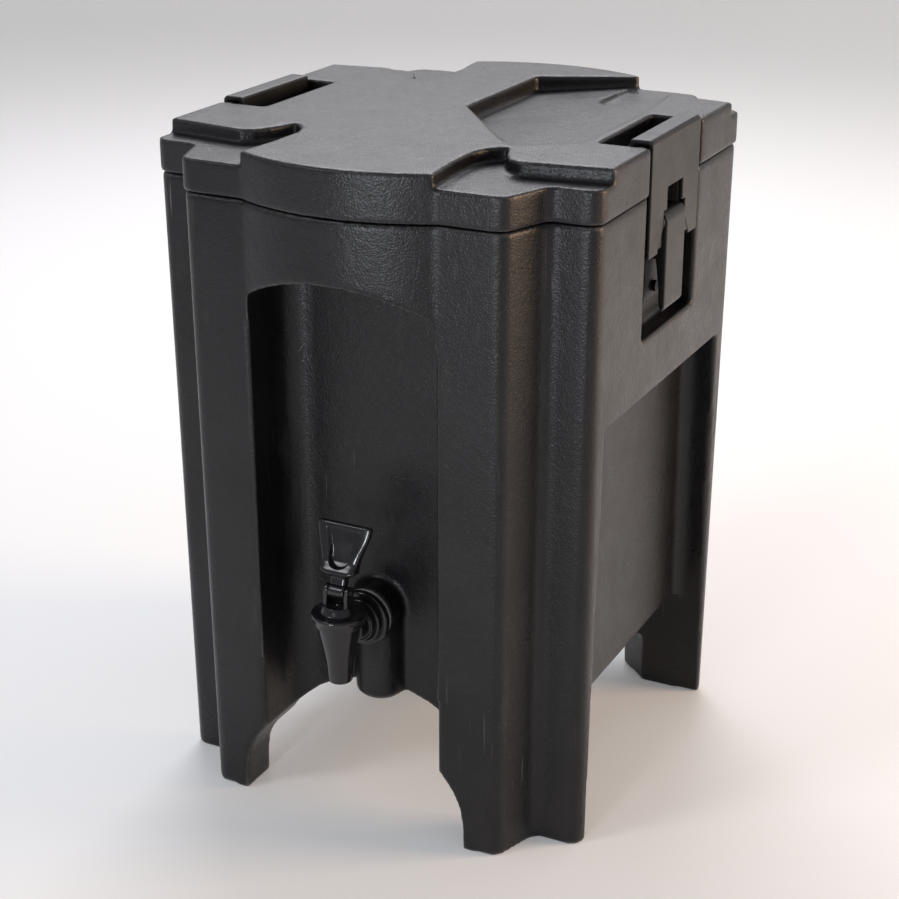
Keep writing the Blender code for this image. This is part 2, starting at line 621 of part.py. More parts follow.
def make_latch(sign, side):
    pivot = (PIVOT_X * sign, 0, PIVOT_Z)
    hook_pivot = (PIVOT_X * sign, 0, HOOK_PIVOT_Z)

    # base: back plate on the recess floor with two ears round the lever pin
    floor_x = LATCH_FLOOR_X + GAP
    foot_z = PIVOT_Z - 0.053
    plate = [(floor_x, foot_z), (BASE_X, foot_z), (BASE_X, PIVOT_Z + 0.005),
             (floor_x, PIVOT_Z + 0.005)]
    base = side_solid("latch_base_" + side, plate, -EAR_OUT, EAR_OUT, sign)
    ear = [(BASE_X - 0.001, PIVOT_Z - 0.005), (PIVOT_X, PIVOT_Z - 0.005)]
    ear += arc(PIVOT_X, PIVOT_Z, 0.005, -72, 72, 8) + [(PIVOT_X, PIVOT_Z + 0.005),
                                                        (BASE_X - 0.001, PIVOT_Z + 0.005)]
    for low, high in ((EAR_IN, EAR_OUT), (-EAR_OUT, -EAR_IN)):
        join(base, side_solid("ear", ear, low, high, sign))
    cut(base, side_rod("pin_bore", PIVOT_X, PIVOT_Z, BORE, -0.03, 0.03, sign, sides=16))
    for z in SCREW_ROWS:
        cut(base, rod("screw_hole", "X", (0, z), SCREW_RADIUS + GAP,
                      *sorted((sign * (floor_x - 0.006), sign * HALF_WIDTH)), sides=12))
    finish_piece(base, BLACK_SHELL, 0.4)

    # lever: round barrel on the pin, cheeks, and a tongue that is pulled out from its lower end
    face = PIVOT_X + BARREL
    tongue = arc(PIVOT_X, PIVOT_Z, BARREL, 0, 180, 10)
    tongue += [(PIVOT_X - 0.0060, PIVOT_Z - 0.0070), (PIVOT_X - 0.0048, PIVOT_Z - 0.0175),
               (PIVOT_X - 0.0010, PIVOT_Z - 0.0230), (PIVOT_X + 0.0015, PIVOT_Z - 0.0410),
               (PIVOT_X + 0.0022, LEVER_FOOT_Z + 0.003), (PIVOT_X + 0.0040, LEVER_FOOT_Z),
               (face - 0.0010, LEVER_FOOT_Z), (face, LEVER_FOOT_Z + 0.0025)]
    lever = side_solid("latch_lever_" + side, tongue[::-1], -LEVER_HALF, LEVER_HALF, sign)
    hollow = [(PIVOT_X - 0.0080, PIVOT_Z - 0.0170), (PIVOT_X + 0.0020, PIVOT_Z - 0.0175),
              (PIVOT_X + 0.0032, LEVER_FOOT_Z + 0.004), (PIVOT_X - 0.0080, LEVER_FOOT_Z + 0.004)]
    cut(lever, side_solid("hollow", hollow[::-1], -LEVER_HALF + 0.003, LEVER_HALF - 0.003, sign))
    cut(lever, side_rod("lever_bore", PIVOT_X, PIVOT_Z, BORE, -0.03, 0.03, sign, sides=16))
    cut(lever, side_rod("hook_bore", PIVOT_X, HOOK_PIVOT_Z, BORE, -0.03, 0.03, sign, sides=16))
    finish_piece(lever, BLACK_SHELL, 0.35)
    hang_on(lever, pivot)

    pin = side_rod("lever_pin_" + side, PIVOT_X, PIVOT_Z, PIN_RADIUS, -EAR_OUT, EAR_OUT, sign, 16)
    finish_piece(pin, STEEL, 0.3, 1.0)

    # hook: plate with two legs, a top bar over the lid rim and a lip down into the slot
    out_x = HOOK_IN_X + HOOK_PLATE
    top = TOP_Z + GAP + HOOK_PLATE
    lip_x = RIM_IN_X - 0.0035
    hook_foot = HOOK_PIVOT_Z - 0.0045
    section = [(HOOK_IN_X, hook_foot), (out_x, hook_foot), (out_x, top - 0.002), (out_x - 0.002, top),
               (lip_x - 0.0030 + 0.001, top), (lip_x - 0.0030, top - 0.001),
               (lip_x - 0.0030, TOP_Z - 0.0075), (lip_x, TOP_Z - 0.0075),
               (lip_x, TOP_Z + GAP), (HOOK_IN_X, TOP_Z + GAP)]
    hook = side_solid("latch_hook_" + side, section, -HOOK_HALF, HOOK_HALF, sign)
    low, high = sorted((sign * (HOOK_IN_X - 0.001), sign * (out_x + 0.0095)))
    half = [(0.0270, PIVOT_Z - 0.0310), (0.0270, PIVOT_Z - 0.0145), (0.0190, PIVOT_Z - 0.0030),
            (0.0190, PIVOT_Z + 0.0080), (0.0135, PIVOT_Z + 0.0080), (0.0135, SEAM_Z)]
    window = half + [(-y, z) for y, z in half[::-1]]
    cut(hook, bar_x("window", window, low, high))
    for low, high in ((0.0195, 0.0275), (-0.0275, -0.0195)):
        knuckle = side_rod("knuckle", PIVOT_X, HOOK_PIVOT_Z, KNUCKLE, low, high, sign, 16)
        web = side_solid("web", [(PIVOT_X, HOOK_PIVOT_Z - 0.0030), (out_x - 0.0005, PIVOT_Z - 0.0145),
                                 (out_x - 0.0005, PIVOT_Z - 0.0030), (PIVOT_X, HOOK_PIVOT_Z + 0.0030)],
                         low, high, sign)
        join(hook, knuckle, web)
    cut(hook, side_rod("hook_bore", PIVOT_X, HOOK_PIVOT_Z, BORE, -0.05, 0.05, sign, 16))
    finish_piece(hook, BLACK_SHELL, 0.4)
    hang_on(hook, hook_pivot)

    pin = side_rod("hook_pin_" + side, PIVOT_X, HOOK_PIVOT_Z, PIN_RADIUS, -0.0275, 0.0275, sign, 16)
    finish_piece(pin, STEEL, 0.3, 1.0)
    hang_on(pin, pivot)

    for number, z in enumerate(SCREW_ROWS, start=1):
        low, high = sorted((sign * (LATCH_FLOOR_X - SCREW_DEPTH), sign * (BASE_X + GAP)))
        screw = rod(f"latch_screw_{side}_{number}", "X", (0, z), SCREW_RADIUS, low, high, sides=12)
        low, high = sorted((sign * (BASE_X + GAP), sign * (BASE_X + GAP + SCREW_HEAD)))
        join(screw, rod("head", "X", (0, z), SCREW_HEAD_RADIUS, low, high, sides=16))
        low, high = sorted((sign * (BASE_X + 0.0009), sign * HALF_WIDTH))
        cut(screw, block("drive", (low, -0.0004, z - 0.0022), (high, 0.0004, z + 0.0022)))
        finish_piece(screw, STEEL, 0.35, 1.0)


# ---------------------------------------------------------------- tap
BARREL_RADIUS = 0.0140
SKIRT_DROP = 0.0029                # bonnet's skirt below the top of the barrel
BARREL_TOP_Z = TAP_Z + SHANK_RADIUS + 0.0006 + SKIRT_DROP
SPOUT_Z = TAP_Z - 0.0300
SEAT_Z = TAP_Z - 0.0180
STEM_RADIUS = 0.0025
NECK_Z = BARREL_TOP_Z + 0.0105     # top of the bonnet's neck
LEVER_PIVOT_Z = NECK_Z + 0.0085
FLANGE_BACK_Y = PAD_Y - WASHER     # the outer washer lies between flange and pad
NUT_Y = -TANK_Y + WASHER - 0.0002  # the inner washer lies between nut and tank wall


def make_tap():
    centre = (0, TAP_Y)

    # body: tapered barrel down to the spout, with the threaded shank through the wall
    body = lathe("tap_body", centre, [(0.0072, SPOUT_Z), (0.0078, SPOUT_Z + 0.0006),
                                      (0.0088, SEAT_Z + 0.0010), (0.0135, TAP_Z + 0.0050),
                                      (BARREL_RADIUS, BARREL_TOP_Z)],
                 sides=32)
    flange_front = FLANGE_BACK_Y - FLANGE
    rib = SHANK_RADIUS + 0.005
    shank = turned("shank", "Y", (0, TAP_Z),
                   [(SHANK_RADIUS, TAP_Y + 0.004), (SHANK_RADIUS, flange_front - 0.0050),
                    (rib, flange_front - 0.0050), (rib, flange_front),
                    (FLANGE_RADIUS, flange_front), (FLANGE_RADIUS, FLANGE_BACK_Y),
                    (SHANK_RADIUS, FLANGE_BACK_Y), (SHANK_RADIUS, SHANK_END - TANK_Y)], sides=32)
    join(body, shank)
    cut(body, rod("waterway", "Y", (0, TAP_Z), SHANK_RADIUS - WATERWAY_WALL, TAP_Y + 0.003,
                  SLEEVE_END - TANK_Y, sides=20))
    cut(body, lathe("chamber", centre, [(0.0045, SPOUT_Z - 0.01), (0.0045, SEAT_Z),
                                        (0.0074, SEAT_Z + 0.004), (0.0108, TAP_Z + 0.0050),
                                        (0.0108, BARREL_TOP_Z + 0.0165)], sides=24))
    finish_piece(body, BLACK_TAP, 0.18)

    washer = rod("tap_outer_washer", "Y", (0, TAP_Z), SHANK_RADIUS + OUTER_WASHER_LAP,
                 FLANGE_BACK_Y + GAP, PAD_Y - GAP, 32)
    cut(washer, rod("bore", "Y", (0, TAP_Z), SHANK_RADIUS + GAP, TAP_Y, 0))
    finish_piece(washer, SILICONE, 0.6)
    washer = rod("tap_inner_washer", "Y", (0, TAP_Z), SHANK_RADIUS + NUT_LAP,
                 -TANK_Y + GAP, NUT_Y - GAP, 32)
    cut(washer, rod("bore", "Y", (0, TAP_Z), SHANK_RADIUS + GAP, TAP_Y, 0))
    finish_piece(washer, SILICONE, 0.6)
    nut = bar_y("tap_nut", arc(TAP_Z, 0, SHANK_RADIUS + NUT_LAP, 0, 300, 5),
                NUT_Y, NUT_Y + NUT_LENGTH)
    cut(nut, rod("bore", "Y", (0, TAP_Z), SHANK_RADIUS + GAP, TAP_Y, 0))
    finish_piece(nut, BLACK_TAP, 0.4)

    # bonnet: cap over the barrel with a raised rim, a neck and two ears for the lever pin
    bonnet = lathe("tap_bonnet", centre,
                   [(0.0160, BARREL_TOP_Z - SKIRT_DROP), (0.0168, BARREL_TOP_Z + 0.0010),
                    (0.0178, BARREL_TOP_Z + 0.0035), (0.0172, BARREL_TOP_Z + 0.0050),
                    (0.0118, BARREL_TOP_Z + 0.0057), (0.0105, NECK_Z - 0.0015),
                    (0.0098, NECK_Z)], sides=32)
    cut(bonnet, rod("socket", "Z", centre, BARREL_RADIUS + GAP, TAP_Z, BARREL_TOP_Z + GAP, sides=32))
    for side in (1, -1):
        low, high = sorted((side * 0.0060, side * 0.0086))
        ear = [(TAP_Y - 0.0050, NECK_Z - 0.0030), (TAP_Y + 0.0050, NECK_Z - 0.0030)]
        ear += arc(TAP_Y, LEVER_PIVOT_Z, 0.0042, 0, 180, 8)
        join(bonnet, bar_x("ear", ear, low, high))
    cut(bonnet, rod("stem_bore", "Z", centre, STEM_RADIUS + GAP, SPOUT_Z, LEVER_PIVOT_Z + BEYOND,
                    sides=16))
    cut(bonnet, rod("pin_bore", "X", (TAP_Y, LEVER_PIVOT_Z), BORE, -0.02, 0.02, sides=16))
    finish_piece(bonnet, BLACK_TAP, 0.15)

    # stem and the elastic seat cup that closes the spout
    stem_centre = (0, TAP_Y, SEAT_Z + 0.003)
    stem = lathe("tap_stem", centre, [(0.0042, SEAT_Z + 0.0070), (0.0042, SEAT_Z + 0.0090),
                                      (STEM_RADIUS, SEAT_Z + 0.0095),
                                      (STEM_RADIUS, NECK_Z - 0.0008), (0.0020, NECK_Z - 0.0002)],
                 sides=16)
    finish_piece(stem, BLACK_TAP, 0.35)
    hang_on(stem, stem_centre)
    cup = lathe("tap_seat_cup", centre, [(0.0035, SEAT_Z + 0.0008), (0.0052, SEAT_Z + 0.0030),
                                         (0.0064, SEAT_Z + 0.0065), (0.0064, SEAT_Z + 0.0067)],
                sides=20)
    finish_piece(cup, SILICONE, 0.55)
    hang_on(cup, stem_centre)

    make_tap_lever()
    pin = rod("tap_lever_pin", "X", (TAP_Y, LEVER_PIVOT_Z), PIN_RADIUS, -0.0086, 0.0086, sides=16)
    finish_piece(pin, STEEL, 0.3, 1.0)


def make_tap_lever():
    """The paddle lever: a knuckle between the ears, a stalk and a paddle with a thumb hollow."""
    knuckle = rod("tap_lever", "X", (TAP_Y, LEVER_PIVOT_Z), 0.0046, -0.0057, 0.0057, sides=20)
    # side outline in (y, z): leans back towards the body
    lean = math.radians(17)

    def along(distance, offset):
        """A point on the lever: distance up its length, offset forwards of its centre line."""
        y = TAP_Y + distance * math.sin(lean) - offset * math.cos(lean)
        z = LEVER_PIVOT_Z + distance * math.cos(lean) + offset * math.sin(lean)
        return (y, z)

    def face_bar(name, half):
        """A bar along Y with the (x, height over the pivot) half outline mirrored in X."""
        outline = [(-x, z) for x, z in half[::-1]] + half
        return bar_y(name, [(LEVER_PIVOT_Z + z, x) for x, z in outline], TAP_Y - 0.08, TAP_Y + 0.066)

    side = [along(0.000, -0.0040), along(0.0120, -0.0036), along(0.0380, -0.0022),
            along(0.0440, -0.0012), along(0.0440, 0.0030), along(0.0420, 0.0040),
            along(0.0170, 0.0058), along(0.0110, 0.0052), along(0.0055, 0.0040), along(0, 0.0040)]
    paddle = bar_x("paddle", side[::-1], -0.0200, 0.0200)
    half = [(0.0057, -0.0125), (0.0057, 0.0060), (0.0080, 0.0110), (0.0125, 0.0155),
            (0.0180, 0.0385), (0.0190, 0.0495)]
    common(paddle, face_bar("front", half))
    hollow = [along(0.0175, 0.0100), along(0.0175, 0.0035), along(0.0200, 0.0015),
              along(0.0390, 0.0008), along(0.0390, 0.0100)]
    thumb = bar_x("thumb", hollow[::-1], -0.02, 0.02)
    common(thumb, face_bar("thumb_front", [(0.0040, 0.0130), (0.0068, 0.0155), (0.0085, 0.0200),
                                           (0.0135, 0.0385)]))
    cut(paddle, thumb)
    join(knuckle, paddle)
    cut(knuckle, rod("pin_bore", "X", (TAP_Y, LEVER_PIVOT_Z), BORE, -0.02, 0.02, sides=16))
    finish_piece(knuckle, BLACK_TAP, 0.12)
    hang_on(knuckle, (0, TAP_Y, LEVER_PIVOT_Z))


def centre_on_origin():
    """Slide every piece along Y so that the carrier's box is centred on the origin."""
    corners = []
    for obj in bpy.data.objects:
        corners += [obj.location.y + vertex.co.y for vertex in obj.data.vertices]
    shift = -(min(corners) + max(corners)) / 2
    for obj in bpy.data.objects:
        obj.location.y += shift


clear_scene()
make_body()
make_lid()
for latch_sign, latch_side in ((1, "right"), (-1, "left")):
    make_latch(latch_sign, latch_side)
make_tap()
centre_on_origin()
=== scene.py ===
"""Looks of the insulated drinks carrier: moulded black shells, draw latches and a draw-off tap."""
import json
import math

import bpy
import numpy as np
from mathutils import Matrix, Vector


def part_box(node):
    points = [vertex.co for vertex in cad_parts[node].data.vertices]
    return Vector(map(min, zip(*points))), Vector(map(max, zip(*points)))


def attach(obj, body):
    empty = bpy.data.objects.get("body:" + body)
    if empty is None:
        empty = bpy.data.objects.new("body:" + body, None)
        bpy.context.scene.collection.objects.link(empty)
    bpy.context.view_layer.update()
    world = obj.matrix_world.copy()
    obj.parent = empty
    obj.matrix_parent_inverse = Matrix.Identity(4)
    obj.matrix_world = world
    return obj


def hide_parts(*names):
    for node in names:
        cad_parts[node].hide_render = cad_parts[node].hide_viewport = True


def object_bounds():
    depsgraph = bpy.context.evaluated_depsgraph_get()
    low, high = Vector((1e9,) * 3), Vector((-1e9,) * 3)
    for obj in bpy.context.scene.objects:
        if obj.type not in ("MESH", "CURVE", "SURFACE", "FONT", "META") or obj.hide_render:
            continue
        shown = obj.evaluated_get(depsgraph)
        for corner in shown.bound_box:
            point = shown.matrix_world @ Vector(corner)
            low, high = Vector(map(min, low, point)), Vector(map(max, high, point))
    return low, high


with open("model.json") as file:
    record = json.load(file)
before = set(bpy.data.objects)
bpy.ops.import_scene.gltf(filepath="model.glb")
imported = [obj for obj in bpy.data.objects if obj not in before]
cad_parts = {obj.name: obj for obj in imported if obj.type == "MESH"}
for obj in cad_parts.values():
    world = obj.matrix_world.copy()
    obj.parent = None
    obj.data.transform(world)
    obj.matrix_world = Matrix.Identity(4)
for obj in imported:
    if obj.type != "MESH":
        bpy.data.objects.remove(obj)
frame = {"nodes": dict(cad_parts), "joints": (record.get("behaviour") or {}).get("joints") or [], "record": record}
cad_low, cad_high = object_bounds()


# ---------------------------------------------------------------- body
# The body is one rotation-moulded polyethylene shell: every edge is soft, because the powder
# melts on to a mould with rounded corners, and the skin keeps the mould's fine orange peel.
BODY_PEEL = 0.0012       # size of the peel's bumps
BODY_PEEL_DEPTH = 0.00030
BODY_GRAIN = 0.0016      # spacing of the shell's surface points
BODY_PASSES = 10         # rounds of smoothing
BODY_FACES = 190_000
WELD_REACH = 1e-6        # corners nearer than this are one


def moulded_copy(node, spacing, passes, faces):
    """A copy of a CAD solid as a moulding: its corners are merged, its surface is resampled on
    an even grid of points, and each point moves half way to the mean of its neighbours, as many
    times as passes says, which rounds the edges over about two spacings. Then flat stretches are
    thinned to the number of faces given."""
    source = frame["nodes"][node]
    piece = bpy.data.objects.new(node + "_moulded", source.data.copy())
    bpy.context.collection.objects.link(piece)
    weld = piece.modifiers.new("weld", "WELD")
    weld.merge_threshold = WELD_REACH
    grid = piece.modifiers.new("even grid", "REMESH")
    grid.mode = "VOXEL"
    grid.voxel_size = spacing
    soften = piece.modifiers.new("soften", "SMOOTH")
    soften.factor = 0.5
    soften.iterations = passes
    apply_modifiers(piece)
    count = 2 * len(piece.data.polygons)
    if count > faces:
        thin = piece.modifiers.new("thin", "DECIMATE")
        thin.ratio = faces / count
        apply_modifiers(piece)
    piece.data.shade_smooth()
    return piece


def apply_modifiers(piece):
    """The piece's mesh becomes what its modifiers make of it."""
    graph = bpy.context.evaluated_depsgraph_get()
    mesh = bpy.data.meshes.new_from_object(piece.evaluated_get(graph))
    piece.modifiers.clear()
    piece.data = mesh


def new_material(name):
    """An empty node material, with functions to add a node and to join two sockets."""
    material = bpy.data.materials.new(name)
    material.use_nodes = True
    tree = material.node_tree
    shader = tree.nodes["Principled BSDF"]

    def add(kind, **settings):
        node = tree.nodes.new(kind)
        for key, value in settings.items():
            if key in node.inputs:
                node.inputs[key].default_value = value
            else:
                setattr(node, key, value)
        return node

    def join(source, target):
        tree.links.new(source, target)

    return material, shader, add, join


def moulded_plastic(name, dark, light, worn, rough, peel, peel_depth, wear):
    """Black moulded plastic.

    Colour: dark to light by a slow cloud, lightened to worn where an edge is sharp, in soft
    scuffs and along fine long scratches. Roughness: a finer cloud about its mean. Height: two
    sizes of peel, less the scratches.
    """
    material, shader, add, join = new_material(name)
    shader.inputs["Specular IOR Level"].default_value = 0.34
    place = add("ShaderNodeTexCoord")
    where = place.outputs["Object"]

    cloud = add("ShaderNodeTexNoise", Scale=14.0, Detail=5.0, Roughness=0.62)
    join(where, cloud.inputs["Vector"])
    tone = add("ShaderNodeMix", data_type="RGBA")
    tone.inputs["A"].default_value = (*dark, 1)
    tone.inputs["B"].default_value = (*light, 1)
    spread = add("ShaderNodeMapRange")
    spread.inputs["From Min"].default_value = 0.36
    spread.inputs["From Max"].default_value = 0.68
    join(cloud.outputs["Fac"], spread.inputs["Value"])
    join(spread.outputs["Result"], tone.inputs["Factor"])

    # sharp edges rub light, unevenly
    bend = add("ShaderNodeNewGeometry")
    edge = add("ShaderNodeMapRange")
    edge.inputs["From Min"].default_value = 0.520
    edge.inputs["From Max"].default_value = 0.585
    join(bend.outputs["Pointiness"], edge.inputs["Value"])
    patch = add("ShaderNodeTexNoise", Scale=38.0, Detail=6.0, Roughness=0.7)
    join(where, patch.inputs["Vector"])
    rub = add("ShaderNodeMath", operation="MULTIPLY")
    join(edge.outputs["Result"], rub.inputs[0])
    join(patch.outputs["Fac"], rub.inputs[1])

    # long fine scratches: thin level lines of a stretched noise, kept in patches
    marks = []
    for turn, stretch in ((0.12, (430, 430, 13)), (0.75, (360, 360, 22))):
        mapping = add("ShaderNodeMapping")
        mapping.inputs["Rotation"].default_value = (turn, turn * 0.6, 0.4)
        mapping.inputs["Scale"].default_value = stretch
        join(where, mapping.inputs["Vector"])
        streak = add("ShaderNodeTexNoise", Scale=1.0, Detail=1.0)
        join(mapping.outputs["Vector"], streak.inputs["Vector"])
        line = add("ShaderNodeMapRange")
        line.inputs["From Min"].default_value = 0.74
        line.inputs["From Max"].default_value = 0.82
        join(streak.outputs["Fac"], line.inputs["Value"])
        marks.append(line.outputs["Result"])
    both = add("ShaderNodeMath", operation="MAXIMUM")
    join(marks[0], both.inputs[0])
    join(marks[1], both.inputs[1])
    area = add("ShaderNodeTexNoise", Scale=9.0, Detail=2.0)
    join(where, area.inputs["Vector"])
    kept = add("ShaderNodeMapRange")
    kept.inputs["From Min"].default_value = 0.52
    kept.inputs["From Max"].default_value = 0.64
    join(area.outputs["Fac"], kept.inputs["Value"])
    scratch = add("ShaderNodeMath", operation="MULTIPLY")
    join(both.outputs[0], scratch.inputs[0])
    join(kept.outputs["Result"], scratch.inputs[1])
    # soft pale scuffs, drawn out down the walls
    drag = add("ShaderNodeMapping")
    drag.inputs["Scale"].default_value = (46, 46, 11)
    join(where, drag.inputs["Vector"])
    scuff = add("ShaderNodeTexNoise", Scale=1.0, Detail=7.0, Roughness=0.72)
    join(drag.outputs["Vector"], scuff.inputs["Vector"])
    smear = add("ShaderNodeMapRange")
    smear.inputs["From Min"].default_value = 0.60
    smear.inputs["From Max"].default_value = 0.80
    smear.inputs["To Max"].default_value = 0.22
    join(scuff.outputs["Fac"], smear.inputs["Value"])
    pale = add("ShaderNodeMath", operation="MAXIMUM")
    join(smear.outputs["Result"], pale.inputs[0])
    join(scratch.outputs[0], pale.inputs[1])
    worn_here = add("ShaderNodeMath", operation="MULTIPLY_ADD", use_clamp=True)
    join(rub.outputs[0], worn_here.inputs[0])
    worn_here.inputs[1].default_value = wear
    join(pale.outputs[0], worn_here.inputs[2])
    colour = add("ShaderNodeMix", data_type="RGBA")
    join(worn_here.outputs[0], colour.inputs["Factor"])
    join(tone.outputs["Result"], colour.inputs["A"])
    colour.inputs["B"].default_value = (*worn, 1)
    join(colour.outputs["Result"], shader.inputs["Base Color"])

    # roughness about its mean, in small patches
    dull = add("ShaderNodeMapRange")
    dull.inputs["From Min"].default_value = 0.3
    dull.inputs["From Max"].default_value = 0.7
    dull.inputs["To Min"].default_value = rough - 0.07
    dull.inputs["To Max"].default_value = rough + 0.08
    join(patch.outputs["Fac"], dull.inputs["Value"])
    join(dull.outputs["Result"], shader.inputs["Roughness"])

    # orange peel: fine bumps on bumps about five times as large, with the scratches cut in
    fine = add("ShaderNodeTexNoise", Scale=1.0 / peel, Detail=2.0, Roughness=0.5)
    join(where, fine.inputs["Vector"])
    coarse = add("ShaderNodeTexNoise", Scale=0.22 / peel, Detail=2.0, Roughness=0.5)
    join(where, coarse.inputs["Vector"])
    height = add("ShaderNodeMath", operation="MULTIPLY_ADD")
    join(coarse.outputs["Fac"], height.inputs[0])
    height.inputs[1].default_value = 0.8
    join(fine.outputs["Fac"], height.inputs[2])
    cut = add("ShaderNodeMath", operation="MULTIPLY_ADD")
    join(scratch.outputs[0], cut.inputs[0])
    cut.inputs[1].default_value = -0.6
    join(height.outputs[0], cut.inputs[2])
    bump = add("ShaderNodeBump", Strength=1.0, Distance=peel_depth)
    join(cut.outputs[0], bump.inputs["Height"])
    join(bump.outputs["Normal"], shader.inputs["Normal"])
    return material


body_plastic = moulded_plastic(
    "moulded body plastic", dark=(0.0048, 0.0047, 0.0056), light=(0.0105, 0.0100, 0.0108),
    worn=(0.130, 0.125, 0.122), rough=0.31, peel=BODY_PEEL, peel_depth=BODY_PEEL_DEPTH, wear=1.6)
body = moulded_copy("body_shell", BODY_GRAIN, BODY_PASSES, BODY_FACES)
body.data.materials.clear()
body.data.materials.append(body_plastic)
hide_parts("body_shell")
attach(body, "root")


# ---------------------------------------------------------------- lid
# The lid is moulded like the body, with a coarser peel and more fine scratches. Its colour is a
# little lighter and bluer than the body's: painted reflection of the bright surroundings on its top.
LID_PEEL = 0.0013
LID_PEEL_DEPTH = 0.00034
LID_GRAIN = 0.0012
LID_PASSES = 14
LID_FACES = 150_000
# dark and light sit above the body's values: a painted sheen, the reflection of a bright room on satin plastic
lid_plastic_painted_sheen = moulded_plastic(
    "moulded lid plastic, painted sheen", dark=(0.0070, 0.0068, 0.0082), light=(0.0150, 0.0144, 0.0160),
    worn=(0.13, 0.128, 0.132), rough=0.33, peel=LID_PEEL, peel_depth=LID_PEEL_DEPTH, wear=1.3)
lid = moulded_copy("lid_shell", LID_GRAIN, LID_PASSES, LID_FACES)
lid.data.materials.clear()
lid.data.materials.append(lid_plastic_painted_sheen)
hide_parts("lid_shell")
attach(lid, "root")


# ---------------------------------------------------------------- latches
# Each draw latch is injection moulded: a base screwed to the recess, a lever on a steel pin and
# a hook plate that the lever pulls down over the lid's rim.
LATCH_PEEL = 0.0007
LATCH_PEEL_DEPTH = 0.00005
LATCH_GRAIN = 0.0005
LATCH_PASSES = 3
LATCH_FACES = 40_000
latch_plastic = moulded_plastic(
    "latch plastic", dark=(0.0055, 0.0055, 0.0060), light=(0.0100, 0.0100, 0.0105),
    worn=(0.11, 0.11, 0.108), rough=0.38, peel=LATCH_PEEL,
    peel_depth=LATCH_PEEL_DEPTH, wear=1.2)
for side in ("right", "left"):
    for part, carrier in (("latch_base_", "root"), ("latch_lever_", "latch_lever_" + side),
                          ("latch_hook_", "latch_hook_" + side)):
        piece = moulded_copy(part + side, LATCH_GRAIN, LATCH_PASSES, LATCH_FACES)
        piece.data.materials.clear()
        piece.data.materials.append(latch_plastic)
        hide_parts(part + side)
        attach(piece, carrier)


# ---------------------------------------------------------------- tap
# The tap is injection moulded in gloss black: a tapered barrel with its flange, a screwed
# bonnet, and a paddle lever that lifts the stem.
TAP_GRAIN = 0.00035
TAP_PASSES = 3
TAP_FACES = 60_000


def gloss_plastic(name):
    """Gloss black moulding: near mirror skin with faint handling haze and very slight waves."""
    material, shader, add, join = new_material(name)
    place = add("ShaderNodeTexCoord")
    haze = add("ShaderNodeTexNoise", Scale=110.0, Detail=6.0, Roughness=0.65)
    join(place.outputs["Object"], haze.inputs["Vector"])
    gloss = add("ShaderNodeMapRange")
    gloss.inputs["From Min"].default_value = 0.35
    gloss.inputs["From Max"].default_value = 0.70
    gloss.inputs["To Min"].default_value = 0.13
    gloss.inputs["To Max"].default_value = 0.27
    join(haze.outputs["Fac"], gloss.inputs["Value"])
    join(gloss.outputs["Result"], shader.inputs["Roughness"])
    tone = add("ShaderNodeMix", data_type="RGBA")
    join(haze.outputs["Fac"], tone.inputs["Factor"])
    tone.inputs["A"].default_value = (0.0065, 0.0065, 0.007, 1)
    tone.inputs["B"].default_value = (0.013, 0.013, 0.014, 1)
    join(tone.outputs["Result"], shader.inputs["Base Color"])
    wave = add("ShaderNodeTexNoise", Scale=160.0, Detail=1.0)
    join(place.outputs["Object"], wave.inputs["Vector"])
    bump = add("ShaderNodeBump", Strength=0.5, Distance=0.00006)
    join(wave.outputs["Fac"], bump.inputs["Height"])
    join(bump.outputs["Normal"], shader.inputs["Normal"])
    return material


tap_plastic = gloss_plastic("gloss tap plastic")
barrel_low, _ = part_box("tap_body")
bonnet_low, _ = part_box("tap_bonnet")
washer_low, washer_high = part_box("tap_outer_washer")
pivot = Vector(next(j for j in frame["joints"] if j["name"] == "tap_lever_pull")["pos_m"])
AXIS_Y = pivot.y         # the barrel stands below the lever's pin
SHANK_Z = (washer_low.z + washer_high.z) / 2


def grid_piece(name, points, material):
    """A mesh from points[i, j]: ring i, place j round it; the first and last rings are closed
    by a fan to their mean point."""
    rings, around, _ = points.shape
    i, j = np.meshgrid(np.arange(rings - 1), np.arange(around), indexing="ij")
    k = (j + 1) % around
    quads = np.stack([i * around + j, i * around + k, (i + 1) * around + k,
                      (i + 1) * around + j], axis=-1).reshape(-1, 4)
    low, high = rings * around, rings * around + 1
    rim = np.arange(around)
    after = (rim + 1) % around
    top = (rings - 1) * around
    fans = np.concatenate([
        np.stack([after, rim, np.full(around, low)], axis=-1),
        np.stack([top + rim, top + after, np.full(around, high)], axis=-1)])
    ends = np.stack([points[0].mean(axis=0), points[-1].mean(axis=0)])
    verts = np.concatenate([points.reshape(-1, 3), ends])
    mesh = bpy.data.meshes.new(name)
    mesh.from_pydata(verts.tolist(), [], quads.tolist() + fans.tolist())
    mesh.validate()
    mesh.shade_smooth()
    mesh.materials.append(material)
    piece = bpy.data.objects.new(name, mesh)
    bpy.context.collection.objects.link(piece)
    return piece


CORNER_CUT = 0.2         # share of a leg that goes with each cut corner


def softened_profile(corners, rounds=3):
    """The profile with its corners cut: each leg loses a fifth at both ends, three times over."""
    line = np.array(corners, dtype=float)
    for _ in range(rounds):
        near = (1 - CORNER_CUT) * line[:-1] + CORNER_CUT * line[1:]
        far = CORNER_CUT * line[:-1] + (1 - CORNER_CUT) * line[1:]
        middle = np.stack([near, far], axis=1).reshape(-1, 2)
        line = np.concatenate([line[:1], middle, line[-1:]])
    return line


